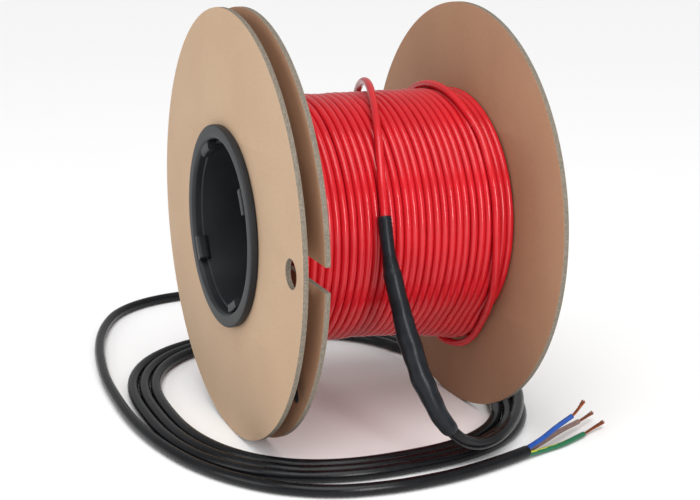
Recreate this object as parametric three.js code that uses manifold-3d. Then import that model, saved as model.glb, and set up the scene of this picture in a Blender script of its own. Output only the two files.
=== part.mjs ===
// Underfloor heating cable on its reel, with its cold lead laid in a coil around the foot of the reel.
// Millimetres, +Z up, the reel's axis along X. The origin is on the floor, under the middle of the reel.
import * as THREE from "three";
import { mergeVertices } from "three/addons/utils/BufferGeometryUtils.js";
import Module from "manifold-3d";

const clearance = 0.3;

// The three fibreboard discs, and the gap between the two on the left where the cable's inner end is kept
const boardRadius = 125;
const boardThickness = 3;
const chamberWidth = 9;
const windingWidth = 136;

// The plastic hub: a sleeve through the discs, and a core that plugs into it and clips over its mouth
const hubWall = 2.2;
const hubSleeveRadius = 52.9;
const flangeWidth = 6.1;
const flangeThickness = 4.2;
const mouthBevel = 1.6;
const edgeBevel = 0.8;
const clipCount = 4;
const clipDepth = 5;
const clipLip = 3.2;
const clipSetback = 0.2;
const clipHalfAngle = 0.15;
const clipTurn = 0.3;

// The hole in the outer disc and the slot in the inner one, both at the front
const holeRadius = 8;
const holeInset = 17.3;
const slotWidth = 13.4;
const slotDrop = 0.026;

// The red heating cable, wound in layers that nest in each other's grooves
const cableDiameter = 4.6;
const layerCount = 5;
const grooveDepth = 0.9;

// The cable's inner end inside the chamber, how far it leads forward and down from the slot
const innerEndReach = 14.5;
const innerEndDrop = 46.6;

// The black heat-shrink joint and the end seal of the cable's inner end
const sleeveRadius = 6.1;
const sleeveNeckRadius = 4.1;
const sealLength = 32;
const sealWidth = 7.6;
const sealThickness = 5.4;

// The black cold lead and the oval coil that it lies in, flat on the floor
const leadDiameter = 7;
const leadSpacing = 0.2;
const coilTurns = 3;
const coilCentre = new THREE.Vector2(-5.5, 30);
const coilHalfWidth = 107.7;
const coilHalfLength = 126.3;
const coilSquareness = 2.5;
const strandHalfFlat = 1.6;
const strandCrown = 0.4;
const strandValley = 2;
const floorGap = 0.1;

// The stripped cores and their bared strands
const coreDiameter = 3;
const strandDiameter = 1.5;

const hubSleeveInner = hubSleeveRadius - hubWall;
const hubCoreRadius = hubSleeveInner - clearance;
const hubCoreInner = hubCoreRadius - hubWall;
const flangeRadius = hubSleeveRadius + flangeWidth;
const bore = hubSleeveRadius + clearance;
const slotFoot = flangeRadius + 1 + slotWidth / 2;
const leadPitch = leadDiameter + leadSpacing;

// Where each piece starts along the reel's axis, from the left flange's face to the right one's
const reelLength =
  2 * (flangeThickness + clearance) + 3 * boardThickness + chamberWidth + windingWidth;
const leftFace = -reelLength / 2;
const outerDiscStart = leftFace + flangeThickness + clearance;
const chamberStart = outerDiscStart + boardThickness;
const innerDiscStart = chamberStart + chamberWidth;
const windingStart = innerDiscStart + boardThickness;
const farDiscStart = windingStart + windingWidth;
const rightFace = -leftFace;

const wasm = await Module();
wasm.setup();

const toSolid = (geometry) => {
  const bare = geometry.clone();
  bare.deleteAttribute("normal");
  bare.deleteAttribute("uv");
  const merged = mergeVertices(bare, 1e-4);
  return new wasm.Manifold(
    new wasm.Mesh({
      numProp: 3,
      vertProperties: new Float32Array(merged.attributes.position.array),
      triVerts: new Uint32Array(merged.index.array),
    }),
  );
};

const fromSolid = (solid) => {
  const mesh = solid.getMesh();
  const geometry = new THREE.BufferGeometry();
  geometry.setAttribute("position", new THREE.BufferAttribute(new Float32Array(mesh.vertProperties), 3));
  geometry.setIndex(new THREE.BufferAttribute(new Uint32Array(mesh.triVerts), 1));
  geometry.computeVertexNormals();
  return geometry;
};

const finish = (color, roughness, metalness = 0) =>
  new THREE.MeshStandardMaterial({ color, roughness, metalness });

const board = finish(0xc4a684, 0.85);
const blackPlastic = finish(0x2a2c2f, 0.45);
const redSheath = finish(0xd22a33, 0.35);
const heatShrink = finish(0x2f353a, 0.55);
const blackSheath = finish(0x191b1f, 0.4);
const blueCore = finish(0x2350b4, 0.4);
const brownCore = finish(0x7a625a, 0.4);
const greenCore = finish(0x1d7a40, 0.4);
const copper = finish(0xb0673f, 0.35, 0.9);

const named = (name, geometry, material) => {
  const mesh = new THREE.Mesh(geometry, material);
  mesh.name = name;
  return mesh;
};

// A body of revolution from a closed outline of [radius, distance along the axis] points
const turned = (outline, segments) =>
  new THREE.LatheGeometry(
    [...outline, outline[0]].map(([radius, along]) => new THREE.Vector2(radius, along)),
    segments,
  );

// The reel's own frame has its axis along Z. The reel stands on the rims of its discs.
const reel = new THREE.Group();
reel.setRotationFromMatrix(
  new THREE.Matrix4().makeBasis(
    new THREE.Vector3(0, 1, 0),
    new THREE.Vector3(0, 0, 1),
    new THREE.Vector3(1, 0, 0),
  ),
);
reel.position.z = boardRadius;

const onAxis = (mesh) => {
  mesh.rotation.x = Math.PI / 2;
  reel.add(mesh);
};

// Discs: die-cut from solid board. The front of the reel is at -X in the reel's own frame.
const discSegments = 36;
const boreSegments = 36;

const discOutline = () => {
  const outline = new THREE.Shape();
  outline.absarc(0, 0, boardRadius, 0, 2 * Math.PI);
  return outline;
};

const slottedOutline = () => {
  const halfSlot = slotWidth / 2;
  const rimAngle = Math.asin(halfSlot / boardRadius);
  const outline = new THREE.Shape();
  outline.absarc(0, 0, boardRadius, -Math.PI + rimAngle, Math.PI - rimAngle);
  outline.absarc(-slotFoot, 0, halfSlot, Math.PI / 2, -Math.PI / 2, true);
  outline.closePath();
  return outline;
};

const disc = (name, outline, start) => {
  const centreHole = new THREE.Path();
  centreHole.absarc(0, 0, bore, 0, 2 * Math.PI);
  outline.holes.push(centreHole);
  const geometry = new THREE.ExtrudeGeometry(outline, {
    depth: boardThickness,
    bevelEnabled: false,
    curveSegments: discSegments,
  });
  const mesh = named(name, geometry, board);
  mesh.position.z = start;
  reel.add(mesh);
  return mesh;
};

const holeDistance = boardRadius - holeInset;
const outerOutline = discOutline();
const roundHole = new THREE.Path();
roundHole.absarc(
  -holeDistance * Math.cos(slotDrop),
  -holeDistance * Math.sin(slotDrop),
  holeRadius,
  0,
  2 * Math.PI,
);
outerOutline.holes.push(roundHole);
disc("outer_disc", outerOutline, outerDiscStart);
disc("inner_disc", slottedOutline(), innerDiscStart).rotation.z = slotDrop;
disc("far_disc", discOutline(), farDiscStart);

// Hub sleeve: moulded with the left flange, its mouth bevelled so that the clips of the core hold in it
const sleeveEnd = rightFace - flangeThickness - clearance;
onAxis(
  named(
    "hub_sleeve",
    turned(
      [
        [hubSleeveInner + mouthBevel, leftFace],
        [flangeRadius - edgeBevel, leftFace],
        [flangeRadius, leftFace + edgeBevel],
        [flangeRadius, leftFace + flangeThickness],
        [hubSleeveRadius, leftFace + flangeThickness],
        [hubSleeveRadius, sleeveEnd],
        [hubSleeveInner, sleeveEnd],
        [hubSleeveInner, leftFace + mouthBevel],
      ],
      boreSegments,
    ),
    blackPlastic,
  ),
);

// Hub core: moulded with the right flange. Four clips at its free end reach the mouth of the sleeve.
const coreStart = leftFace + clipDepth;
let hubCore = toSolid(
  turned(
    [
      [hubCoreInner, coreStart],
      [hubCoreRadius, coreStart],
      [hubCoreRadius, rightFace - flangeThickness],
      [flangeRadius, rightFace - flangeThickness],
      [flangeRadius, rightFace - edgeBevel],
      [flangeRadius - edgeBevel, rightFace],
      [hubCoreInner, rightFace],
    ],
    boreSegments,
  ).rotateX(Math.PI / 2),
);
const clipOutline = new THREE.Shape();
clipOutline.absarc(0, 0, hubCoreRadius - clipSetback, -clipHalfAngle, clipHalfAngle);
clipOutline.absarc(0, 0, hubCoreInner - clipLip, clipHalfAngle, -clipHalfAngle, true);
clipOutline.closePath();
for (let clip = 0; clip < clipCount; clip += 1) {
  const geometry = new THREE.ExtrudeGeometry(clipOutline, {
    depth: clipDepth + clipLip,
    bevelEnabled: false,
    curveSegments: 3,
  });
  geometry.rotateZ(((clip + 0.5) * 2 * Math.PI) / clipCount + clipTurn);
  geometry.translate(0, 0, leftFace);
  hubCore = hubCore.add(toSolid(geometry));
}
reel.add(named("hub_core", fromSolid(hubCore), blackPlastic));

// Spacer ring: holds the two left discs apart and leaves the chamber for the cable's inner end
onAxis(
  named(
    "spacer_ring",
    turned(
      [
        [bore, chamberStart + clearance],
        [flangeRadius, chamberStart + clearance],
        [flangeRadius, chamberStart + chamberWidth - clearance],
        [bore, chamberStart + chamberWidth - clearance],
      ],
      boreSegments,
    ),
    board,
  ),
);

// Winding: one turned solid. Its outline steps over every turn of the top layer and every layer at its ends.
const windingFirst = windingStart + clearance;
const windingLast = farDiscStart - clearance;
const turnsPerLayer = Math.floor((windingLast - windingFirst) / cableDiameter);
const turnPitch = (windingLast - windingFirst) / turnsPerLayer;
const layerStep = Math.sqrt(cableDiameter ** 2 - (turnPitch / 2) ** 2);
const windingRadius = bore + cableDiameter + (layerCount - 1) * layerStep;
const windingOutline = [[bore, windingFirst + grooveDepth]];
for (let layer = 0; layer < layerCount; layer += 1) {
  const middle = bore + cableDiameter / 2 + layer * layerStep;
  windingOutline.push([middle, windingFirst]);
  if (layer < layerCount - 1) {
    windingOutline.push([middle + layerStep / 2, windingFirst + grooveDepth]);
  }
}
for (let turn = 0; turn < turnsPerLayer; turn += 1) {
  windingOutline.push([windingRadius, windingFirst + (turn + 0.5) * turnPitch]);
  if (turn < turnsPerLayer - 1) {
    windingOutline.push([windingRadius - grooveDepth, windingFirst + (turn + 1) * turnPitch]);
  }
}
for (let layer = layerCount - 1; layer >= 0; layer -= 1) {
  const middle = bore + cableDiameter / 2 + layer * layerStep;
  windingOutline.push([middle, windingLast]);
  if (layer > 0) {
    windingOutline.push([middle - layerStep / 2, windingLast - grooveDepth]);
  }
}
windingOutline.push([bore, windingLast - grooveDepth]);
onAxis(named("cable_winding", turned(windingOutline, boreSegments), redSheath));

// A tube of one diameter along a smooth curve through chosen points
const points = (list) => list.map(([x, y, z]) => new THREE.Vector3(x, y, z));

const tube = (list, diameter, sides, steps) => {
  const section = new THREE.Shape();
  for (let side = 0; side < sides; side += 1) {
    const angle = (side * 2 * Math.PI) / sides;
    const corner = [(diameter / 2) * Math.cos(angle), (diameter / 2) * Math.sin(angle)];
    if (side === 0) {
      section.moveTo(...corner);
    } else {
      section.lineTo(...corner);
    }
  }
  section.closePath();
  return new THREE.ExtrudeGeometry(section, {
    steps,
    bevelEnabled: false,
    extrudePath: new THREE.CatmullRomCurve3(points(list), false, "centripetal"),
  });
};

// Inner end of the heating cable: out of the winding's side, through the slot and down inside the chamber.
// Each point is a share of the way across the reel, of the reach forward and of the drop.
const chamberMiddle = chamberStart + chamberWidth / 2;
const innerEndStart = windingFirst - clearance;
const innerEndRoute = [
  [0, 0, 0],
  [0.28, 0, 0],
  [0.6, 0, 0.045],
  [0.85, 0.01, 0.12],
  [0.98, 0.055, 0.25],
  [1, 0.23, 0.43],
  [1, 0.46, 0.625],
  [1, 0.74, 0.82],
  [1, 1, 1],
].map(([across, forward, down]) => [
  -slotFoot - forward * innerEndReach,
  -slotFoot * Math.sin(slotDrop) - down * innerEndDrop,
  innerEndStart + across * (chamberMiddle - innerEndStart),
]);
reel.add(named("cable_inner_end", tube(innerEndRoute, cableDiameter, 8, 12), redSheath));

// End seal: a shrunk cap, pinched flat at its tip, that closes the cable's inner end
const sealOutline = new THREE.Shape();
sealOutline.moveTo(-sealWidth / 2, 0);
sealOutline.lineTo(-sealWidth / 2, -sealLength + sealWidth / 2);
sealOutline.absarc(0, -sealLength + sealWidth / 2, sealWidth / 2, Math.PI, 2 * Math.PI);
sealOutline.lineTo(sealWidth / 2, 0);
sealOutline.closePath();
const endSeal = named(
  "end_seal",
  new THREE.ExtrudeGeometry(sealOutline, { depth: sealThickness, bevelEnabled: false, curveSegments: 6 }),
  heatShrink,
);
const [beforeTip, innerTip] = points(innerEndRoute).slice(-2);
const innerEndRun = innerTip.clone().sub(beforeTip).normalize();
endSeal.rotation.z = Math.atan2(innerEndRun.x, -innerEndRun.y);
endSeal.position.copy(innerTip).addScaledVector(innerEndRun, 2 * clearance);
endSeal.position.z -= sealThickness / 2;
reel.add(endSeal);

// Tail of the heating cable: hangs in a slack loop under the winding beside the far disc, crosses up the
// back of the winding on top of its turns, arches over and comes down at the front to the joint
const tailRoute = [
  [67.5, -54, 71],
  [69.8, -42.4, 59.8],
  [70.4, -32.2, 49.2],
  [69, -20.8, 41.6],
  [66, -7.5, 39.3],
  [62.8, 5.8, 42.4],
  [60, 19.1, 48.3],
  [57.2, 32.5, 55.2],
  [53.7, 49.1, 66.5],
  [50, 62.6, 81.2],
  [46, 71.8, 98.9],
  [42, 76.1, 118.3],
  [38, 75.2, 138.3],
  [34, 69.2, 157.3],
  [29.7, 58.5, 174.1],
  [25.5, 47, 185.2],
  [21.2, 33.8, 194.2],
  [17.8, 21.7, 200.6],
  [15.1, 9.7, 203.9],
  [12, -2.8, 204.3],
  [8.1, -16.3, 201.5],
  [3.8, -30, 195.8],
  [-0.8, -43.8, 187.6],
  [-5, -56.8, 176.1],
  [-8, -66.2, 163.2],
  [-9.3, -71.2, 153.2],
  [-9.9, -74.3, 145.4],
  [-10.3, -76, 140.8],
];
const cableTail = named("cable_tail", tube(tailRoute, cableDiameter, 8, 36), redSheath);

// Joint sleeve: heat-shrink tubing over the joint of the red cable and the black lead
const sleeveRoute = [
  [-10.4, -76.3, 140],
  [-10.9, -80.4, 129.5],
  [-10.9, -85, 117],
  [-10, -90, 104],
  [-8.6, -95, 91],
  [-6.8, -100, 78],
  [-4.2, -105, 64.6],
  [-0.6, -109.6, 51.6],
  [4.2, -113.2, 39.6],
  [9.6, -114.8, 30.2],
  [13, -115, 26],
];
const sleeveCurve = new THREE.CatmullRomCurve3(points(sleeveRoute), false, "centripetal");
const sleeveSides = 12;
const sleeveShape = [
  [sleeveNeckRadius, 0],
  [sleeveNeckRadius, 0.22],
  [sleeveRadius - 0.9, 0.36],
  [sleeveRadius - 0.6, 0.5],
  [sleeveRadius, 0.6],
  [sleeveRadius, 0.72],
  [sleeveRadius - 0.6, 0.8],
  [sleeveRadius, 0.9],
  [sleeveRadius - 0.4, 1],
];

// Bends a body of revolution that is 1 long along Y, so that its axis follows a curve
const bend = (geometry, curve, fallback) => {
  const place = geometry.attributes.position;
  for (let index = 0; index < place.count; index += 1) {
    const share = Math.min(1, Math.max(0, place.getY(index)));
    const centre = curve.getPointAt(share);
    const tangent = curve.getTangentAt(share);
    const side = new THREE.Vector3().crossVectors(tangent, fallback).normalize();
    const front = new THREE.Vector3().crossVectors(side, tangent);
    centre.addScaledVector(side, place.getX(index)).addScaledVector(front, place.getZ(index));
    place.setXYZ(index, centre.x, centre.y, centre.z);
  }
  return geometry;
};

const jointSleeve = named(
  "joint_sleeve",
  bend(
    turned([[0, 0], ...sleeveShape, [0, 1]], sleeveSides),
    sleeveCurve,
    new THREE.Vector3(0, 1, 0),
  ),
  heatShrink,
);

// Cold lead: from the joint over the coil's outer strand, across it behind the far disc and down inside it
const leadRoute = [
  [13.8, -115, 25.2],
  [18.6, -114.4, 20.6],
  [26.6, -111.8, 15.6],
  [37, -107.4, 12],
  [49, -101, 10.9],
  [61.5, -91.2, 10.9],
  [76.5, -75.4, 10.9],
  [91, -54.5, 10.9],
  [100.5, -36, 10.9],
  [105.5, -18, 10.9],
  [107, 0, 10.9],
  [105.5, 18, 10.9],
  [101.5, 34, 10.9],
  [97, 46, 10.9],
  [92.8, 57, 10.6],
  [88, 67, 9.2],
  [84, 77, 6],
  [80.6, 86.5, 3.9],
  [76.6, 95, 3.7],
];
const leadIn = named("cold_lead_drop", tube(leadRoute, leadDiameter, 8, 20), blackSheath);

// Coil of the cold lead: an oval ring whose top shows its turns side by side
const coilHalfBand = ((coilTurns - 1) * leadPitch) / 2;
const coilOutline = [
  [-coilHalfBand - strandHalfFlat, floorGap],
  [-coilHalfBand - leadDiameter / 2, leadDiameter / 2],
];
for (let turn = 0; turn < coilTurns; turn += 1) {
  const middle = -coilHalfBand + turn * leadPitch;
  coilOutline.push([middle - strandHalfFlat, leadDiameter - strandCrown]);
  coilOutline.push([middle + strandHalfFlat, leadDiameter - strandCrown]);
  if (turn < coilTurns - 1) {
    coilOutline.push([middle + leadPitch / 2, leadDiameter - strandValley]);
  }
}
coilOutline.push([coilHalfBand + leadDiameter / 2, leadDiameter / 2]);
coilOutline.push([coilHalfBand + strandHalfFlat, floorGap]);

const oval = (value) => Math.sign(value) * Math.abs(value) ** (2 / coilSquareness);
const coilMean = (coilHalfWidth + coilHalfLength) / 2;
const coilGeometry = turned(
  coilOutline.map(([offset, height]) => [coilMean + offset, height]).reverse(),
  56,
).rotateX(Math.PI / 2);
const coilPlace = coilGeometry.attributes.position;
for (let index = 0; index < coilPlace.count; index += 1) {
  const angle = Math.atan2(coilPlace.getY(index), coilPlace.getX(index));
  const offset = Math.hypot(coilPlace.getX(index), coilPlace.getY(index)) - coilMean;
  coilPlace.setXYZ(
    index,
    coilCentre.x + (coilHalfWidth + offset) * oval(Math.cos(angle)),
    coilCentre.y + (coilHalfLength + offset) * oval(Math.sin(angle)),
    coilPlace.getZ(index),
  );
}
const leadCoil = named("cold_lead_coil", coilGeometry, blackSheath);

// Free end of the cold lead: one wider loop behind the reel and round its left side to the front
const freeRoute = [
  [115.9, 62, 3.7],
  [115.2, 90, 3.7],
  [110.5, 124, 3.7],
  [101, 160, 3.7],
  [87, 196, 3.7],
  [68, 230, 3.7],
  [44, 257, 3.7],
  [15, 275, 3.7],
  [-14, 282, 3.7],
  [-42, 280, 3.7],
  [-66, 270, 3.7],
  [-85, 253, 3.7],
  [-98, 231, 3.7],
  [-109, 203, 3.7],
  [-117.5, 172, 3.7],
  [-123.5, 140, 3.7],
  [-128, 106, 3.7],
  [-130, 72, 3.7],
  [-130.4, 38, 3.7],
  [-128.6, 8, 3.7],
  [-123.8, -22, 3.7],
  [-115, -52, 3.7],
  [-101, -79, 3.7],
  [-82, -101, 3.7],
  [-57, -116.4, 3.7],
  [-29, -123, 3.7],
  [-4, -124, 3.7],
  [16, -122.4, 3.7],
  [34, -118.8, 3.7],
  [50, -114.6, 3.7],
  [64, -110.4, 3.8],
];
const leadEnd = named("cold_lead_end", tube(freeRoute, leadDiameter, 8, 44), blackSheath);

// Stripped cores: blue, brown and green-yellow, each with its bared copper strands
const cores = [
  [
    "blue",
    blueCore,
    [
      [64.4, -110.3, 5.7],
      [76, -106.6, 8.1],
      [88.6, -102.4, 12],
      [100, -100.4, 16.2],
    ],
    [
      [100.3, -100.3, 16.3],
      [105.6, -98, 18.9],
      [111, -95.2, 22],
    ],
  ],
  [
    "brown",
    brownCore,
    [
      [64, -108.7, 2.8],
      [81, -101.4, 4],
      [96.6, -93.8, 5],
      [114.6, -85.2, 5],
    ],
    [
      [114.9, -85.1, 5],
      [122.6, -80.6, 5],
      [130, -76.6, 5.4],
    ],
  ],
  [
    "green",
    greenCore,
    [
      [65, -112, 2.8],
      [77.6, -108.4, 1.9],
      [91, -105, 1.8],
      [110.8, -97, 2],
    ],
    [
      [111.1, -96.9, 2],
      [120, -92.4, 2.4],
      [130, -88.8, 3.8],
    ],
  ],
];
const strippedEnd = new THREE.Group();
for (const [color, material, insulation, strands] of cores) {
  strippedEnd.add(named(`core_${color}`, tube(insulation, coreDiameter, 8, 9), material));
  strippedEnd.add(named(`strands_${color}`, tube(strands, strandDiameter, 6, 5), copper));
}

const heatingCable = new THREE.Group();
heatingCable.add(reel, cableTail, jointSleeve, leadIn, leadCoil, leadEnd, strippedEnd);

export default heatingCable;
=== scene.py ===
"""Underfloor heating cable: red cable wound on a board reel, its black cold lead coiled at the foot."""

import math

import bmesh
import bpy
from mathutils import Matrix, Vector


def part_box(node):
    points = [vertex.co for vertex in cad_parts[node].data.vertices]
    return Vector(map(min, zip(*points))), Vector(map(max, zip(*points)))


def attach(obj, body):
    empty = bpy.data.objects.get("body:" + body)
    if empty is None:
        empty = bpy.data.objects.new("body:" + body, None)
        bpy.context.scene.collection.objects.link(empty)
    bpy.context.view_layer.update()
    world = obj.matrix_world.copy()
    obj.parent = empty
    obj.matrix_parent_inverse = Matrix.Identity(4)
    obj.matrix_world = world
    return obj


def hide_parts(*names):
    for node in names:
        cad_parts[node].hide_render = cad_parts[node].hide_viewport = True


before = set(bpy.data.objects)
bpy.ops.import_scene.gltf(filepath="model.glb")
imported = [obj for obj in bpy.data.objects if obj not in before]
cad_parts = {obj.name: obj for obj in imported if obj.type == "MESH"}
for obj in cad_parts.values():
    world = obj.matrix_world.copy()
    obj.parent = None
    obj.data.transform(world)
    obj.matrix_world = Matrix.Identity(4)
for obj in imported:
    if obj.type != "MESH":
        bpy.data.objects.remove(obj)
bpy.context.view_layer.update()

# Camera
# It stands in front of the reel and to its left, a little above the winding, with a fairly long lens, so that
# the discs keep nearly one size.
camera_data = bpy.data.cameras.new("camera")
camera_data.lens = 66.8
camera_data.sensor_width = 36
camera = bpy.data.objects.new("camera", camera_data)
camera.location = (-0.3008, -0.7050, 0.2915)
camera.rotation_euler = (math.radians(76.19), 0, math.radians(-23.24))
bpy.context.scene.collection.objects.link(camera)
bpy.context.scene.camera = camera


# Board discs
# Three discs die-cut from solid board: a grey core of pressed waste paper between two tan liners. The hub
# clamps them. The outer one has a round hole for a tie, the inner one a slot for the cable's inner end.
class Wire:
    """A number or colour that differs over a surface. Arithmetic on it adds Math nodes to its finish."""

    def __init__(self, finish, socket):
        self.finish = finish
        self.socket = socket

    def math(self, operation, *values):
        return self.finish.node("Math", operation=operation, sockets=dict(enumerate(values)))

    def __add__(self, other):
        return self.math("ADD", self, other)

    def __rsub__(self, other):
        return self.math("SUBTRACT", other, self)

    def __mul__(self, other):
        return self.math("MULTIPLY", self, other)

    __radd__ = __add__
    __rmul__ = __mul__

    def size(self):
        return self.math("ABSOLUTE", self)

    def between(self, low, high):
        """0 below low, 1 above high and a soft step between them."""
        sockets = {"Value": self, "From Min": low, "From Max": high}
        return self.finish.node("MapRange", interpolation_type="SMOOTHSTEP", sockets=sockets)


class Finish:
    """One material of the reel, put together from shader nodes around a Principled shader."""

    def __init__(self, name, slot):
        self.material = bpy.data.materials.new(name)
        self.material.use_nodes = True
        self.slot = slot
        self.tree = self.material.node_tree
        self.shader = self.tree.nodes["Principled BSDF"]

    def node(self, kind, output=0, sockets=(), **settings):
        """A node of that kind. Its settings are made first, then its sockets are set or linked."""
        node = self.tree.nodes.new("ShaderNode" + kind)
        for name, value in settings.items():
            setattr(node, name, value)
        for name, value in dict(sockets).items():
            self.plug_in(node.inputs[name], value)
        return Wire(self, node.outputs[output])

    def plug_in(self, socket, value):
        if isinstance(value, Wire):
            self.tree.links.new(value.socket, socket)
        elif socket.type == "RGBA":
            socket.default_value = (*value, 1)
        else:
            socket.default_value = value

    def noise(self, scale, detail=3, roughness=0.5):
        """Cloudy noise through the piece, with that many clouds to the metre."""
        here = self.node("TexCoord", output="Object")
        sockets = {"Vector": here, "Scale": scale, "Detail": detail, "Roughness": roughness}
        return self.node("TexNoise", sockets=sockets)

    def mix(self, share, first, second):
        """The first colour where share is 0 and the second where it is 1."""
        return self.node("Mix", output=2, data_type="RGBA", sockets={0: share, 6: first, 7: second})

    def bump(self, height, distance, strength):
        sockets = {"Height": height, "Distance": distance, "Strength": strength}
        self.surface(Normal=self.node("Bump", sockets=sockets))

    def surface(self, **sockets):
        for name, value in sockets.items():
            self.plug_in(self.shader.inputs[name.replace("_", " ")], value)


def shade(red, green, blue):
    """A colour as it is seen on a screen, 0 to 255, as the linear colour that a shader takes."""
    return tuple(
        part / 12.92 if part <= 0.04045 else ((part + 0.055) / 1.055) ** 2.4
        for part in (red / 255, green / 255, blue / 255)
    )


def finished(piece, finish):
    """Gives a piece its finish and lets it stand with the reel."""
    piece.data.materials.clear()
    piece.data.materials.append(finish.material)
    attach(piece, "root")
    return piece


def made(name, corners, faces, sharp=40):
    """A piece from its corners and faces, smooth where its faces meet at less than that angle."""
    mesh = bpy.data.meshes.new(name)
    mesh.from_pydata(corners, [], faces)
    mesh.validate()
    mesh.shade_smooth()
    mesh.set_sharp_from_angle(angle=math.radians(sharp))
    piece = bpy.data.objects.new(name, mesh)
    bpy.context.scene.collection.objects.link(piece)
    return piece


axis_height = 0.125
disc_radius = 0.125
cut_edge_radius = 0.00025
hub_hole_radius = 0.0532
slot_width = 0.0134
slot_foot = 0.0667
slot_drop = 0.026
hole_radius = 0.008
hole_distance = 0.1077



def solid_board(name, plain, cloud, fleck, fibre):
    """Board between liners of those colours. Its cut edge shows the grey core."""
    finish = Finish(name, "board")
    fibres = finish.noise(1100, detail=4, roughness=0.65)
    flecks = finish.noise(480, detail=5, roughness=0.7)
    clouds = finish.noise(14, detail=3)
    liner = finish.mix(clouds.between(0.3, 0.7), plain, cloud)
    liner = finish.mix(flecks.between(0.52, 0.68) * 0.35, liner, fleck)
    liner = finish.mix(fibres.between(0.6, 0.75) * 0.3, liner, fibre)
    plies = finish.noise(1300, detail=3, roughness=0.6)
    core = finish.mix(plies.between(0.38, 0.62), shade(102, 95, 85), shade(130, 121, 108))
    facing = finish.node("TexCoord", output="Normal")
    sideways = finish.node("SeparateXYZ", output="X", sockets={"Vector": facing})
    cut = 1 - sideways.size().between(0.45, 0.8)
    finish.surface(Base_Color=finish.mix(cut, liner, core), Roughness=0.78 + cut * 0.12)
    finish.shader.inputs["Specular IOR Level"].default_value = 0.3
    finish.bump(fibres * 0.4 + flecks * 0.6 + plies * cut * 1.5, distance=0.00006, strength=0.5)
    return finish


# The outside board has the liners' own tan. The inside board's darker, browner liner colours are painted
# shade: they darken every face that looks inward between the discs and round the hub, where the reel shades
# itself.
outside_board = solid_board(
    "outside_board", shade(184, 157, 130), shade(179, 151, 124), shade(162, 132, 104), shade(197, 172, 147)
)
inside_board_painted_shade = solid_board(
    "inside_board_painted_shade", shade(168, 131, 103), shade(162, 125, 98), shade(145, 110, 85), shade(182, 147, 119)
)


def arc(centre, radius, start, end, steps):
    """Points along an arc, angles in radians, without the last one."""
    return [
        (
            centre[0] + radius * math.cos(start + (end - start) * step / steps),
            centre[1] + radius * math.sin(start + (end - start) * step / steps),
        )
        for step in range(steps)
    ]


def turned_by(points, angle):
    return [
        (x * math.cos(angle) - y * math.sin(angle), x * math.sin(angle) + y * math.cos(angle))
        for x, y in points
    ]


def board_disc(node, outline, holes, outside=0):
    """A disc cut along an outline and round its holes, given in Y and Z from the reel's axis.

    outside is -1 or 1 where the disc's left or right face is an outer face of the reel. Those faces take the
    outside board; all others take the inside board, whose darker colour is painted shade.
    """
    low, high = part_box(node)
    plan = bpy.data.curves.new(node, "CURVE")
    plan.dimensions = "2D"
    plan.fill_mode = "BOTH"
    plan.extrude = (high[0] - low[0]) / 2 - cut_edge_radius
    plan.bevel_depth = cut_edge_radius
    plan.bevel_resolution = 2
    plan.offset = -cut_edge_radius
    for points in (outline, *holes):
        spline = plan.splines.new("POLY")
        spline.points.add(len(points) - 1)
        spline.use_cyclic_u = True
        for point, (x, y) in zip(spline.points, points):
            point.co = (x, y, 0, 1)
    pattern = bpy.data.objects.new(node, plan)
    mesh = bpy.data.meshes.new_from_object(pattern)
    bpy.data.objects.remove(pattern)
    bpy.data.curves.remove(plan)
    middle = (low[0] + high[0]) / 2
    mesh.transform(Matrix(((0, 0, 1, middle), (1, 0, 0, 0), (0, 1, 0, axis_height), (0, 0, 0, 1))))
    bench = bmesh.new()
    bench.from_mesh(mesh)
    bmesh.ops.remove_doubles(bench, verts=bench.verts, dist=1e-6)
    bmesh.ops.recalc_face_normals(bench, faces=bench.faces)
    bench.to_mesh(mesh)
    bench.free()
    mesh.shade_smooth()
    mesh.set_sharp_from_angle(angle=math.radians(50))
    piece = bpy.data.objects.new(node + "_board", mesh)
    bpy.context.scene.collection.objects.link(piece)
    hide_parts(node)
    finished(piece, inside_board_painted_shade)
    # Faces that look out of the reel take the paler outside board; every other face keeps the inside board's
    # painted shade.
    mesh.materials.append(outside_board.material)
    for face in mesh.polygons:
        face.material_index = int(face.normal.x * outside > 0.5)


round_turn = 2 * math.pi
plain_rim = arc((0, 0), disc_radius, 0, round_turn, 288)
hub_hole = arc((0, 0), hub_hole_radius, 0, round_turn, 144)
tie_hole_centre = (-hole_distance * math.cos(slot_drop), -hole_distance * math.sin(slot_drop))
tie_hole = arc(tie_hole_centre, hole_radius, 0, round_turn, 56)
slot_angle = math.asin(slot_width / 2 / disc_radius)
slotted_rim = arc((0, 0), disc_radius, -math.pi + slot_angle, math.pi - slot_angle, 284)
slotted_rim += [(disc_radius * math.cos(math.pi - slot_angle), slot_width / 2)]
slotted_rim += arc((-slot_foot, 0), slot_width / 2, math.pi / 2, -math.pi / 2, 28)
slotted_rim += [(-slot_foot, -slot_width / 2)]
board_disc("outer_disc", plain_rim, (hub_hole, tie_hole), outside=-1)
board_disc("inner_disc", turned_by(slotted_rim, slot_drop), (hub_hole,))
board_disc("far_disc", plain_rim, (hub_hole,), outside=1)

# Spacer ring
# A ring of the same board, laid round the hub between the two left discs, which keeps them apart and leaves
# room for the cable's inner end.
# It takes the inside board, whose darker liner colour is painted shade.
finished(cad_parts["spacer_ring"], inside_board_painted_shade)
spacer_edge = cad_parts["spacer_ring"].modifiers.new("cut_edge", "BEVEL")
spacer_edge.width = cut_edge_radius
spacer_edge.limit_method = "ANGLE"

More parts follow.
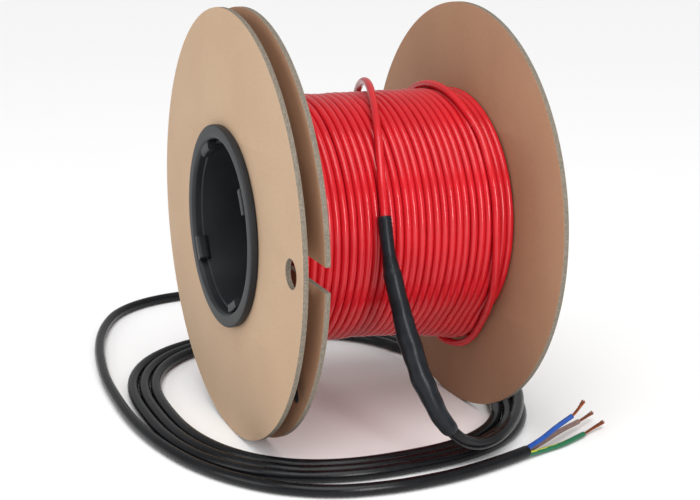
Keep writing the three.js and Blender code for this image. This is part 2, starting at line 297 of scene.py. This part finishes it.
# Hub
# Two black moulded tubes with flanges, pushed together from both sides through the discs. Four hooks at the
# free end of the inner tube hold behind the bevelled mouth of the outer one.
flange_radius = 0.059
flange_thickness = 0.0042
hub_bore_radius = 0.0482
hub_wall = 0.0022
hub_sleeve_radius = 0.0529
hub_half_length = 0.0815
mouth_bevel = 0.0016
moulded_edge = 0.0008
hook_depth = 0.005
hook_lip = 0.0032
hook_half_angle = 0.15
hook_turn = 0.3
hook_count = 4
hook_rows = 9
hook_chamfer = 0.001
hook_setback = 0.0002
hook_root = 0.0004
hook_edge = 0.0005

hub_segments = 128

hub_plastic = Finish("hub_plastic", "hub_plastic")
grain = hub_plastic.noise(1400, detail=2)
haze = hub_plastic.noise(30, detail=4, roughness=0.6)
hub_plastic.surface(
    Base_Color=hub_plastic.mix(haze.between(0.35, 0.7), shade(30, 32, 35), shade(38, 40, 43)),
    Roughness=0.4 + haze * 0.18,
)
hub_plastic.shader.inputs["Specular IOR Level"].default_value = 0.3
hub_plastic.bump(grain, distance=0.00002, strength=0.35)


def off_axis(radius, angle, along):
    """The corner at a distance from the reel's axis, an angle from the back upwards and a place along it."""
    return (along, radius * math.cos(angle), axis_height + radius * math.sin(angle))


def banded(rows, count, first=0, closed=False):
    """Faces between rows of that many corners each. The last row meets the first one where it is closed."""
    return [
        (
            first + row * count + spot,
            first + row * count + (spot + 1) % count,
            first + (row + 1) % rows * count + (spot + 1) % count,
            first + (row + 1) % rows * count + spot,
        )
        for row in range(rows if closed else rows - 1)
        for spot in range(count)
    ]


def turned(profile, segments):
    """A closed profile of (distance from the reel's axis, place along it), turned round that axis."""
    corners = [
        off_axis(radius, turn * round_turn / segments, along)
        for turn in range(segments)
        for radius, along in profile
    ]
    return corners, banded(segments, len(profile), closed=True)


def eased(profile, radius, steps=3):
    """The profile with each of its corners rounded by that radius, or less where an edge is short."""
    rounded = []
    for before, here, after in zip(profile[-1:] + profile[:-1], profile, profile[1:] + profile[:1]):
        here = Vector(here)
        back, on = Vector(before) - here, Vector(after) - here
        reach = min(radius, back.length * 0.4, on.length * 0.4)
        first, last = here + back.normalized() * reach, here + on.normalized() * reach
        for step in range(steps + 1):
            share = step / steps
            rounded.append(tuple(first.lerp(here, share).lerp(here.lerp(last, share), share)))
    return rounded


sleeve_inner = hub_sleeve_radius - hub_wall
sleeve_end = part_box("hub_sleeve")[1][0]
sleeve_profile = [
    (sleeve_inner + mouth_bevel, -hub_half_length),
    (flange_radius, -hub_half_length),
    (flange_radius, -hub_half_length + flange_thickness),
    (hub_sleeve_radius, -hub_half_length + flange_thickness),
    (hub_sleeve_radius, sleeve_end),
    (sleeve_inner, sleeve_end),
    (sleeve_inner, -hub_half_length + mouth_bevel),
]
hub_sleeve = made("hub_sleeve_moulding", *turned(eased(sleeve_profile, moulded_edge), hub_segments))
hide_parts("hub_sleeve")
finished(hub_sleeve, hub_plastic)

core_outer = hub_bore_radius + hub_wall
core_start = -hub_half_length + hook_depth
core_profile = [
    (hub_bore_radius, core_start),
    (core_outer, core_start),
    (core_outer, hub_half_length - flange_thickness),
    (flange_radius, hub_half_length - flange_thickness),
    (flange_radius, hub_half_length),
    (hub_bore_radius, hub_half_length),
]
corners, faces = turned(eased(core_profile, moulded_edge), hub_segments)
hook_profile = eased(
    [
        (hub_bore_radius - hook_lip, -hub_half_length + hook_chamfer),
        (hub_bore_radius - hook_lip + hook_chamfer, -hub_half_length),
        (core_outer - hook_setback, -hub_half_length),
        (core_outer - hook_setback, core_start + hook_lip),
        (hub_bore_radius + hook_root, core_start + hook_lip),
        (hub_bore_radius - hook_lip, core_start),
    ],
    hook_edge,
)
for hook in range(hook_count):
    middle = (hook + 0.5) * round_turn / hook_count + hook_turn
    first, count = len(corners), len(hook_profile)
    for row in range(hook_rows):
        angle = middle + hook_half_angle * (2 * row / (hook_rows - 1) - 1)
        corners += [off_axis(radius, angle, along) for radius, along in hook_profile]
    faces += banded(hook_rows, count, first)
    last = first + (hook_rows - 1) * count
    faces += [tuple(reversed(range(first, first + count))), tuple(range(last, last + count))]
hub_core = made("hub_core_moulding", corners, faces)
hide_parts("hub_core")
finished(hub_core, hub_plastic)

# Winding
# Five layers of the heating cable in its smooth red sheath, a little uneven as laid. Each turn of the top
# layer is modelled. The last one leaves the far disc, climbs the back and comes over the top onto the rest.
cable_diameter = 0.0046
cable_radius = cable_diameter / 2
layer_count = 5
winding_low, winding_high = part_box("cable_winding")
winding_left, winding_right = winding_low[0], winding_high[0]
turn_count = int((winding_right - winding_left) / cable_diameter + 1e-6)
turn_pitch = (winding_right - winding_left) / turn_count
layer_step = math.sqrt(cable_diameter**2 - (turn_pitch / 2) ** 2)
top_layer_radius = hub_hole_radius + cable_radius + (layer_count - 1) * layer_step

red_sheath = Finish("red_sheath", "red_sheath")
rub = red_sheath.noise(60, detail=4, roughness=0.6)
skin = red_sheath.noise(1800, detail=2)
red_sheath.surface(
    Base_Color=red_sheath.mix(rub.between(0.35, 0.65), shade(196, 26, 36), shade(188, 24, 34)),
    Roughness=0.12 + rub * 0.12,
)
red_sheath.shader.inputs["Specular IOR Level"].default_value = 0.45
red_sheath.bump(skin, distance=0.00002, strength=0.25)


def smooth_line(points, spacing):
    """Points about that far apart on the smooth curve through chosen points."""
    points = [Vector(point) for point in points]
    points = [points[0] * 2 - points[1], *points, points[-1] * 2 - points[-2]]
    line = []
    for p0, p1, p2, p3 in zip(points, points[1:], points[2:], points[3:]):
        gaps = [max((b - a).length, 1e-6) ** 0.5 for a, b in ((p0, p1), (p1, p2), (p2, p3))]
        enter = (p1 - p0) / gaps[0] - (p2 - p0) / (gaps[0] + gaps[1]) + (p2 - p1) / gaps[1]
        leave = (p2 - p1) / gaps[1] - (p3 - p1) / (gaps[1] + gaps[2]) + (p3 - p2) / gaps[2]
        enter, leave = enter * gaps[1], leave * gaps[1]
        steps = max(1, round((p2 - p1).length / spacing))
        for step in range(steps):
            t = step / steps
            a, b = 2 * p1 - 2 * p2 + enter + leave, -3 * p1 + 3 * p2 - 2 * enter - leave
            line.append(((a * t + b) * t + enter) * t + p1)
    return line + [points[-2]]


def tube(line, radius, sides, up=(0, 0, 1)):
    """A tube with closed ends along a line. A radius that varies takes the share of the way and the angle."""
    corners, side = [], None
    for spot, point in enumerate(line):
        ahead = (line[min(spot + 1, len(line) - 1)] - line[max(spot - 1, 0)]).normalized()
        side = (ahead.cross(Vector(up)) if side is None else side - ahead * side.dot(ahead)).normalized()
        front = side.cross(ahead)
        for turn in range(sides):
            angle = turn * round_turn / sides
            reach = radius(spot / (len(line) - 1), angle) if callable(radius) else radius
            corners.append(point + (side * math.cos(angle) + front * math.sin(angle)) * reach)
    last = (len(line) - 1) * sides
    ends = [tuple(reversed(range(sides))), tuple(range(last, last + sides))]
    return corners, banded(len(line), sides) + ends


def joined(*shapes):
    """Several shapes, each of corners and faces, as one."""
    corners, faces = [], []
    for more_corners, more_faces in shapes:
        faces += [tuple(len(corners) + corner for corner in face) for face in more_faces]
        corners += more_corners
    return corners, faces


def round_reel(angle, radius, along):
    """The point at an angle in degrees, 0 in front and 90 on top, at a distance from the reel's axis."""
    turn = math.radians(angle)
    return Vector((along, -radius * math.cos(turn), axis_height + radius * math.sin(turn)))


def ease(share):
    share = min(1, max(0, share))
    return share * share * (3 - 2 * share)


# A turn starts at the bottom, steps over to the next groove behind the reel and comes down at the front.
# The turns nearer the far disc are slack and hang a little lower under the reel.
# Slack angles are in degrees below the front: where it starts, is full, starts to end and has ended.
turn_steps = 96
slack_drop = 0.0085
slack_angles = (46, 76, 84, 104)
slack_start = -0.01
slack_width = 0.072
top_layer = []
for step in range(turn_count * turn_steps + 1):
    turn = step / turn_steps
    whole = min(int(turn), turn_count - 1)
    sideways = 0.00012 * math.sin(7.4 * turn) + 0.0001 * math.sin(4.3 * turn + 1)
    sideways += 0.00006 * math.sin(15.1 * turn)
    outward = 0.00012 * math.sin(8.1 * turn + 2) + 0.0001 * math.sin(5.2 * turn)
    stepped = 0 if whole == 0 else ease((turn - whole - 0.06) / 0.34) - 1
    along = winding_left + (whole + 0.5 + stepped) * turn_pitch + sideways
    along = min(max(along, winding_left + cable_radius), winding_right - cable_radius)
    sunk = layer_step * (1 - ease(turn / 0.2))
    below = 360 * (turn - whole)
    below = 90 + (below if below < 180 else below - 360)
    slack = slack_drop * min(1, max(0, (along - slack_start) / slack_width)) ** 1.6
    slack *= ease((below - slack_angles[0]) / (slack_angles[1] - slack_angles[0]))
    slack *= ease((slack_angles[3] - below) / (slack_angles[3] - slack_angles[2]))
    top_layer.append(round_reel(-90 - 360 * turn, top_layer_radius + outward - sunk + slack, along))

# The riding turn by angle, distance from the reel's axis and place along it, from the bottom up the back
riding_turn = [
    (-98, 0.0722, 0.0711),
    (-110, 0.0744, 0.0702),
    (-124, 0.0762, 0.0690),
    (-145, 0.0762, 0.0668),
    (-170, 0.0762, 0.0640),
    (-195, 0.0762, 0.0610),
    (-220, 0.0761, 0.0588),
    (-238, 0.0760, 0.0576),
    (-250, 0.0759, 0.0569),
    (-262, 0.0761, 0.0567),
    (-275, 0.0761, 0.0568),
    (-288, 0.0759, 0.0572),
    (-300, 0.0757, 0.0580),
    (-315, 0.0756, 0.0598),
    (-330, 0.0756, 0.0598),
    (-345, 0.0756, 0.0602),
    (-360, 0.0756, 0.0603),
    (-375, 0.0758, 0.0618),
    (-390, 0.0762, 0.0645),
    (-405, 0.0764, 0.0675),
]
leave = turn_steps // 24
riding_points = [top_layer[-leave], *(round_reel(*place) for place in riding_turn)]
top_layer = top_layer[:-leave] + smooth_line(riding_points, 0.004)

# The layers below show only at their ends, through the slot of the inner disc.
edge_steps = 8
under_profile = []
for end, side in ((winding_left + cable_radius, -1), (winding_right - cable_radius, 1)):
    edge = [(hub_hole_radius, end)]
    for layer in range(layer_count - 1):
        middle = hub_hole_radius + cable_radius + layer * layer_step
        for step in range(1, edge_steps):
            angle = math.pi * step / edge_steps
            rise = -cable_radius * math.cos(angle) * layer_step / cable_diameter
            edge.append((middle + rise, end + side * cable_radius * math.sin(angle)))
    under_profile += edge if side < 0 else edge[::-1]
winding_shape = joined(tube(top_layer, cable_radius, 12, up=(1, 0, 0)), turned(under_profile, 96))
winding = made("winding_turns", *winding_shape, sharp=70)
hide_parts("cable_winding")
finished(winding, red_sheath)

# Inner end of the heating cable
# It comes out of the winding's side through the slot and hangs in the gap between the two left discs. A
# black shrunk cap, pinched flat at its tip, seals it.
chamber_middle = (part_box("outer_disc")[1][0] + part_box("inner_disc")[0][0]) / 2
inner_end_start = winding_left - 0.0003
inner_end_reach = 0.0145
inner_end_drop = 0.0466
inner_end_line = smooth_line(
    [
        (
            inner_end_start + across * (chamber_middle - inner_end_start),
            -slot_foot - forward * inner_end_reach,
            axis_height - slot_foot * math.sin(slot_drop) - down * inner_end_drop,
        )
        for across, forward, down in (
            (-0.6, 0, 0),
            (0, 0, 0),
            (0.28, 0, 0),
            (0.6, 0, 0.045),
            (0.85, 0.01, 0.12),
            (0.98, 0.055, 0.25),
            (1, 0.23, 0.43),
            (1, 0.46, 0.625),
            (1, 0.74, 0.82),
            (1, 1, 1),
        )
    ],
    0.0015,
)
inner_end = made("inner_end_cable", *tube(inner_end_line, cable_radius, 16))
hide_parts("cable_inner_end")
finished(inner_end, red_sheath)

heat_shrink = Finish("heat_shrink", "heat_shrink")
folds = heat_shrink.noise(120, detail=3, roughness=0.55)
film = heat_shrink.noise(420, detail=3)
heat_shrink.surface(
    Base_Color=heat_shrink.mix(folds.between(0.35, 0.7), shade(18, 21, 25), shade(25, 29, 34)),
    Roughness=0.26 + film * 0.16,
)
heat_shrink.shader.inputs["Specular IOR Level"].default_value = 0.22
heat_shrink.bump(folds * 1.2 + film * 0.4, distance=0.00018, strength=0.5)

seal_length = 0.032
seal_half_width = 0.0038
seal_neck_radius = 0.0027
seal_tip_half = 0.0009
seal_run = (inner_end_line[-1] - inner_end_line[-2]).normalized()
seal_line = [inner_end_line[-1] + seal_run * (seal_length * step / 24 + 0.0004) for step in range(25)]


def seal_reach(share, angle):
    """Round over the cable, flat at the tip, where it also rounds off."""
    flat = ease((share - 0.3) / 0.35)
    tip = math.sqrt(max(0.04, 1 - max(0, (share - 0.9) / 0.1) ** 2))
    wide = (seal_neck_radius + (seal_half_width - seal_neck_radius) * flat) * tip
    thin = (seal_neck_radius - (seal_neck_radius - seal_tip_half) * flat) * (0.5 + 0.5 * tip)
    return wide * thin / math.hypot(thin * math.cos(angle), wide * math.sin(angle))


end_seal = made("end_seal_cap", *tube(seal_line, seal_reach, 24, up=(1, 0, 0)))
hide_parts("end_seal")
finished(end_seal, heat_shrink)

# Tail of the heating cable
# The cable's outer end: a slack loop under the winding, up its back, an arch over its top and down in
# front, where the joint sleeve covers its last centimetres.
tail_route = [
    (0.0675, -0.0540, 0.0710),
    (0.0698, -0.0424, 0.0598),
    (0.0704, -0.0322, 0.0492),
    (0.0690, -0.0208, 0.0416),
    (0.0660, -0.0075, 0.0393),
    (0.0628, 0.0058, 0.0424),
    (0.0600, 0.0191, 0.0483),
    (0.0572, 0.0325, 0.0552),
    (0.0537, 0.0491, 0.0665),
    (0.0500, 0.0626, 0.0812),
    (0.0460, 0.0718, 0.0989),
    (0.0420, 0.0761, 0.1183),
    (0.0380, 0.0752, 0.1383),
    (0.0340, 0.0692, 0.1573),
    (0.0297, 0.0585, 0.1741),
    (0.0255, 0.0470, 0.1852),
    (0.0212, 0.0338, 0.1942),
    (0.0178, 0.0217, 0.2006),
    (0.0151, 0.0097, 0.2039),
    (0.0120, -0.0028, 0.2043),
    (0.0081, -0.0163, 0.2015),
    (0.0038, -0.0300, 0.1958),
    (-0.0008, -0.0438, 0.1876),
    (-0.0050, -0.0568, 0.1761),
    (-0.0080, -0.0662, 0.1632),
    (-0.0093, -0.0712, 0.1532),
    (-0.0099, -0.0743, 0.1454),
    (-0.0103, -0.0760, 0.1408),
]
sleeve_route = [
    (-0.0104, -0.0763, 0.1400),
    (-0.0109, -0.0804, 0.1295),
    (-0.0109, -0.0850, 0.1170),
    (-0.0100, -0.0900, 0.1040),
    (-0.0086, -0.0950, 0.0910),
    (-0.0068, -0.1000, 0.0780),
    (-0.0042, -0.1050, 0.0646),
    (-0.0006, -0.1096, 0.0516),
    (0.0042, -0.1132, 0.0396),
    (0.0096, -0.1148, 0.0302),
    (0.0130, -0.1150, 0.0260),
]


def cable_run(name, line, diameter):
    """A cable along a line of points, with its cut ends closed."""
    run = bpy.data.curves.new(name, "CURVE")
    run.dimensions = "3D"
    run.bevel_depth = diameter / 2
    run.bevel_resolution = 5
    run.use_fill_caps = True
    spline = run.splines.new("POLY")
    spline.points.add(len(line) - 1)
    for spot, point in zip(spline.points, line):
        spot.co = (*point, 1)
    spline.use_smooth = True
    piece = bpy.data.objects.new(name, run)
    bpy.context.scene.collection.objects.link(piece)
    return piece


tail_line = smooth_line(tail_route + sleeve_route[1:4], 0.0035)
cable_tail = cable_run("heating_cable_tail", tail_line, cable_diameter)
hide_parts("cable_tail")
finished(cable_tail, red_sheath)

# Joint sleeve
# Black tubing shrunk over the joint of the two cables: narrow over the red one, fuller and rippled where it
# covers the crimps, and snug on the cold lead at its lower end. Each width is a share of its length and a
# radius in mm.
sleeve_line = smooth_line(sleeve_route, 0.0008)
sleeve_widths = [
    (0, 3.9),
    (0.04, 3.9),
    (0.165, 3.7),
    (0.226, 4.5),
    (0.26, 5.2),
    (0.35, 5.1),
    (0.413, 5.3),
    (0.476, 5.7),
    (0.538, 6.2),
    (0.602, 6.1),
    (0.666, 5.8),
    (0.731, 6.2),
    (0.798, 5.6),
    (0.9, 5.2),
    (0.96, 4.9),
    (1, 4.6),
]


def sleeve_reach(share, angle):
    """The radius of the shrunk tubing, with lumps along it and shallow folds round it."""
    for (start, first), (end, last) in zip(sleeve_widths, sleeve_widths[1:]):
        if share <= end:
            radius = first + (last - first) * ease((share - start) / (end - start))
            break
    lumps = 0.18 * math.sin(31 * share + 2 * math.sin(angle + 1)) + 0.1 * math.sin(67 * share + angle)
    lip = 0.3 * math.exp(-((share / 0.006) ** 2)) + 0.5 * math.exp(-(((1 - share) / 0.008) ** 2))
    return (radius + lumps * ease((share - 0.3) / 0.15) - lip) * 0.001


joint_sleeve = made("joint_sleeve_tubing", *tube(sleeve_line, sleeve_reach, 40, up=(1, 0, 0)), sharp=60)
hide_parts("joint_sleeve")
finished(joint_sleeve, heat_shrink)

# Cold lead
# One black round cable from the joint: down over the coil beside the far disc, three turns on the floor
# round the reel's foot, then one wider loop behind it and back to the front, where its end is stripped.
lead_diameter = 0.007
lead_pitch = 0.0072
coil_centre = (-0.0055, 0.0300)
coil_half_width = 0.1077
coil_half_length = 0.1263
coil_squareness = 2.5
floor_strand = 0.0037
lead_route = [
    (0.0138, -0.1150, 0.0252),
    (0.0186, -0.1144, 0.0206),
    (0.0266, -0.1118, 0.0156),
    (0.0370, -0.1074, 0.0120),
    (0.0490, -0.1010, 0.0109),
    (0.0615, -0.0912, 0.0109),
    (0.0765, -0.0754, 0.0109),
    (0.0910, -0.0545, 0.0109),
    (0.1005, -0.0360, 0.0109),
    (0.1055, -0.0180, 0.0109),
    (0.1070, 0.0000, 0.0109),
    (0.1055, 0.0180, 0.0109),
    (0.1015, 0.0340, 0.0109),
    (0.0970, 0.0460, 0.0109),
    (0.0928, 0.0570, 0.0106),
    (0.0880, 0.0670, 0.0092),
    (0.0840, 0.0770, 0.0060),
    (0.0806, 0.0865, 0.0039),
    (0.0766, 0.0950, 0.0037),
]
free_route = [
    (0.1159, 0.0620, 0.0037),
    (0.1152, 0.0900, 0.0037),
    (0.1105, 0.1240, 0.0037),
    (0.1010, 0.1600, 0.0037),
    (0.0870, 0.1960, 0.0037),
    (0.0680, 0.2300, 0.0037),
    (0.0440, 0.2570, 0.0037),
    (0.0150, 0.2750, 0.0037),
    (-0.0140, 0.2820, 0.0037),
    (-0.0420, 0.2800, 0.0037),
    (-0.0660, 0.2700, 0.0037),
    (-0.0850, 0.2530, 0.0037),
    (-0.0980, 0.2310, 0.0037),
    (-0.1090, 0.2030, 0.0037),
    (-0.1175, 0.1720, 0.0037),
    (-0.1235, 0.1400, 0.0037),
    (-0.1280, 0.1060, 0.0037),
    (-0.1300, 0.0720, 0.0037),
    (-0.1304, 0.0380, 0.0037),
    (-0.1286, 0.0080, 0.0037),
    (-0.1238, -0.0220, 0.0037),
    (-0.1150, -0.0520, 0.0037),
    (-0.1010, -0.0790, 0.0037),
    (-0.0820, -0.1010, 0.0037),
    (-0.0570, -0.1164, 0.0037),
    (-0.0290, -0.1230, 0.0037),
    (-0.0040, -0.1240, 0.0037),
    (0.0160, -0.1224, 0.0037),
    (0.0340, -0.1188, 0.0037),
    (0.0500, -0.1146, 0.0037),
    (0.0640, -0.1104, 0.0038),
]

# The coil's turns run to the left behind the reel and to the right in front of it. Each moves one place
# outward at the back right, and the last one leaves the coil at the front right.
coil_turns = 3
coil_steps = 96
first_step_on_floor = 9


def squared(value):
    """Draws a sine or cosine out towards the corners of the coil's oval."""
    return math.copysign(abs(value) ** (2 / coil_squareness), value)


coil_route = []
for step in range(first_step_on_floor, coil_turns * coil_steps):
    turn = step / coil_steps
    lane = ease((turn - 2.93) / 0.1) - 2 + sum(ease((turn - start) / 0.14) for start in (0.07, 1.07, 2.07))
    across = (coil_half_width + lane * lead_pitch) * squared(math.cos(turn * round_turn))
    along = (coil_half_length + lane * lead_pitch) * squared(math.sin(turn * round_turn))
    coil_route.append((coil_centre[0] + across, coil_centre[1] + along, floor_strand))

black_sheath = Finish("black_sheath", "black_sheath")
scuffs = black_sheath.noise(90, detail=5, roughness=0.7)
drawn = black_sheath.noise(1500, detail=2)
black_sheath.surface(
    Base_Color=black_sheath.mix(scuffs.between(0.4, 0.75), shade(9, 10, 13), shade(17, 19, 22)),
    Roughness=0.2 + scuffs * 0.16,
)
black_sheath.shader.inputs["Specular IOR Level"].default_value = 0.25
black_sheath.bump(drawn, distance=0.00002, strength=0.3)

lead_line = smooth_line(sleeve_route[-3:] + lead_route + coil_route + free_route, 0.004)
cold_lead = cable_run("cold_lead_cable", lead_line, lead_diameter)
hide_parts("cold_lead_drop", "cold_lead_coil", "cold_lead_end")
finished(cold_lead, black_sheath)

# Stripped cores
# Three stranded copper conductors in thin insulation: blue, brown, and green with a yellow stripe. Their ends
# are bared, loosely twisted and fanned out.
core_radius = 0.0015
core_sides = 24
wire_radius = 0.0003
core_routes = {
    "blue": (
        [
            (0.0625, -0.1108, 0.0052),
            (0.0644, -0.1103, 0.0057),
            (0.0760, -0.1066, 0.0081),
            (0.0886, -0.1024, 0.0120),
            (0.1000, -0.1004, 0.0162),
        ],
        [
            (0.0985, -0.1006, 0.0157),
            (0.1003, -0.1003, 0.0163),
            (0.1056, -0.0980, 0.0189),
            (0.1110, -0.0952, 0.0220),
        ],
    ),
    "brown": (
        [
            (0.0622, -0.1093, 0.0028),
            (0.0640, -0.1087, 0.0028),
            (0.0810, -0.1014, 0.0040),
            (0.0966, -0.0938, 0.0050),
            (0.1146, -0.0852, 0.0050),
        ],
        [
            (0.1130, -0.0860, 0.0050),
            (0.1149, -0.0851, 0.0050),
            (0.1226, -0.0806, 0.0050),
            (0.1300, -0.0766, 0.0054),
        ],
    ),
    "green": (
        [
            (0.0632, -0.1125, 0.0031),
            (0.0650, -0.1120, 0.0028),
            (0.0776, -0.1084, 0.0019),
            (0.0910, -0.1050, 0.0018),
            (0.1108, -0.0970, 0.0020),
        ],
        [
            (0.1092, -0.0977, 0.0020),
            (0.1111, -0.0969, 0.0020),
            (0.1200, -0.0924, 0.0024),
            (0.1300, -0.0888, 0.0038),
        ],
    ),
}


def insulation(name, slot, plain, worn):
    finish = Finish(name, slot)
    marks = finish.noise(220, detail=4)
    color = finish.mix(marks.between(0.35, 0.7), plain, worn)
    finish.surface(Base_Color=color, Roughness=0.34 + marks * 0.16)
    finish.bump(marks, distance=0.00004, strength=0.3)
    return finish


insulations = {
    "blue": insulation("blue_insulation", "blue_core", shade(2, 60, 138), shade(8, 70, 150)),
    "brown": insulation("brown_insulation", "brown_core", shade(116, 92, 86), shade(128, 104, 97)),
    "green": insulation("green_insulation", "green_core", shade(4, 90, 56), shade(10, 98, 62)),
}
yellow_stripe = insulation("yellow_stripe", "green_core", shade(176, 176, 44), shade(188, 186, 54))

copper = Finish("bare_copper", "copper")
tarnish = copper.noise(700, detail=4, roughness=0.7)
copper.surface(
    Base_Color=copper.mix(tarnish.between(0.35, 0.7), shade(186, 108, 72), shade(120, 68, 48)),
    Roughness=0.26 + tarnish * 0.3,
)
copper.shader.inputs["Metallic"].default_value = 1.0


def wire_strands(line):
    """Seven fine wires, six of them laid round the middle one, that open a little at their tips."""
    shapes = []
    for wire in range(7):
        strand = []
        for spot, point in enumerate(line):
            share = spot / (len(line) - 1)
            ahead = (line[min(spot + 1, len(line) - 1)] - line[max(spot - 1, 0)]).normalized()
            side = ahead.cross(Vector((0, 0, 1))).normalized()
            angle = wire * round_turn / 6 + 7 * share
            away = (0.00054 + 0.0005 * share**3) * (wire > 0)
            strand.append(point + (side * math.cos(angle) + side.cross(ahead) * math.sin(angle)) * away)
        shapes.append(tube(strand, wire_radius, 8))
    return joined(*shapes)


cores = []
for color, (insulated, bared) in core_routes.items():
    insulated_line = smooth_line(insulated, 0.0012)
    core = made("core_insulation_" + color, *tube(insulated_line, core_radius, core_sides))
    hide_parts("core_" + color)
    finished(core, insulations[color])
    if color == "green":
        core.data.materials.append(yellow_stripe.material)
        for face in core.data.polygons:
            ring, place = divmod(face.index, core_sides)
            if ring < len(insulated_line) - 1 and 3 <= (place - ring // 7) % core_sides < 8:
                face.material_index = 1
    strands = made("copper_strands_" + color, *wire_strands(smooth_line(bared, 0.0006)))
    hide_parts("strands_" + color)
    finished(strands, copper)
    cores += [core, strands]

# Floor and light
# A plain white floor that runs on behind the reel. A wide soft light from above, a tall softbox in front for
# the gloss on the cables, a square one for the left discs, and a pale surround.
floor_half_width = 60
floor_finish = Finish("studio_floor", "board")
floor_finish.surface(Base_Color=(0.9, 0.9, 0.9), Roughness=0.9)
floor_corners = [
    (side * floor_half_width, depth * floor_half_width, 0)
    for side, depth in ((-1, -1), (1, -1), (1, 1), (-1, 1))
]
floor = made("studio_floor", floor_corners, [(0, 1, 2, 3)])
floor.location.z = -0.0002
floor.data.materials.append(floor_finish.material)


def light(kind, name, place, aim, power, **settings):
    lamp = bpy.data.lights.new(name, kind)
    lamp.energy = power
    for setting, value in settings.items():
        setattr(lamp, setting, value)
    fitting = bpy.data.objects.new(name, lamp)
    fitting.location = place
    fitting.rotation_euler = (Vector(aim) - Vector(place)).to_track_quat("-Z", "Y").to_euler()
    bpy.context.scene.collection.objects.link(fitting)


light("SUN", "overhead_panel", (-0.2, -0.45, 1), (0, 0, 0), 2.0, angle=math.radians(50))
winding_middle = (0, 0, 0.12)
softbox = {"shape": "RECTANGLE"}
light("AREA", "front_softbox", (0.02, -1.5, 0.5), winding_middle, 11, **softbox, size=0.25, size_y=0.8)
light("AREA", "left_softbox", (-1.6, -0.2, 0.7), winding_middle, 9, **softbox, size=1.0, size_y=1.0)
surround = bpy.data.worlds.new("surround")
surround.use_nodes = True
pale_air = surround.node_tree.nodes["Background"].inputs
pale_air["Color"].default_value = (1, 1, 1, 1)
pale_air["Strength"].default_value = 0.47
bpy.context.scene.world = surround
bpy.context.scene.view_settings.view_transform = "Standard"
